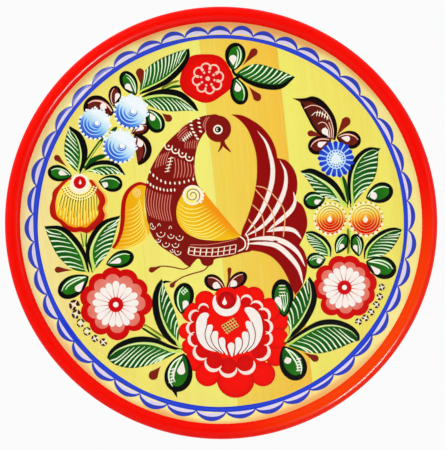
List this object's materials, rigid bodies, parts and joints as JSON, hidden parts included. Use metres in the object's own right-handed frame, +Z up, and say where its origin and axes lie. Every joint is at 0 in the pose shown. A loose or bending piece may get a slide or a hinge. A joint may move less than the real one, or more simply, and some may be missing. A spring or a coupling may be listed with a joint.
{
  "type": "painted wooden wall plate",
  "caption": "Shallow round wooden wall plate with a rounded rim, painted with a bird among flowers and leaves, hung by a ring behind.",
  "frame": {"origin": "centre of the flat foot behind the plate, on the wall plane", "axes": "+Z up as the plate hangs, -Y out of the painted face, +Y into the wall, +X to the viewer's right"},
  "size_m": [0.3, 0.0222, 0.3],
  "materials": {
    "pale_wood": "yellow stain under gloss lacquer",
    "warm_wood": "yellow stain under gloss lacquer",
    "rim_red": "glossy red paint under lacquer",
    "motif_paint": "gouache strokes under gloss lacquer",
    "hanger_steel": "zinc plated"
  },
  "bodies": {
    "plate": {"board_1": "pale_wood", "board_2": "pale_wood", "board_3": "pale_wood", "board_4": "warm_wood", "board_5": "pale_wood", "board_6": "pale_wood", "hanger_strap": "hanger_steel", "hanger_screw_upper": "hanger_steel", "hanger_screw_lower": "hanger_steel"},
    "ring": {"hanger_ring": "hanger_steel"}
  },
  "joints": [
    {"name": "ring_swing", "type": "hinge", "parent": "plate", "child": "ring", "pos_m": [0, -0.00325, 0.125], "axis": [1, 0, 0], "range_deg": [0, 180]}
  ]
}
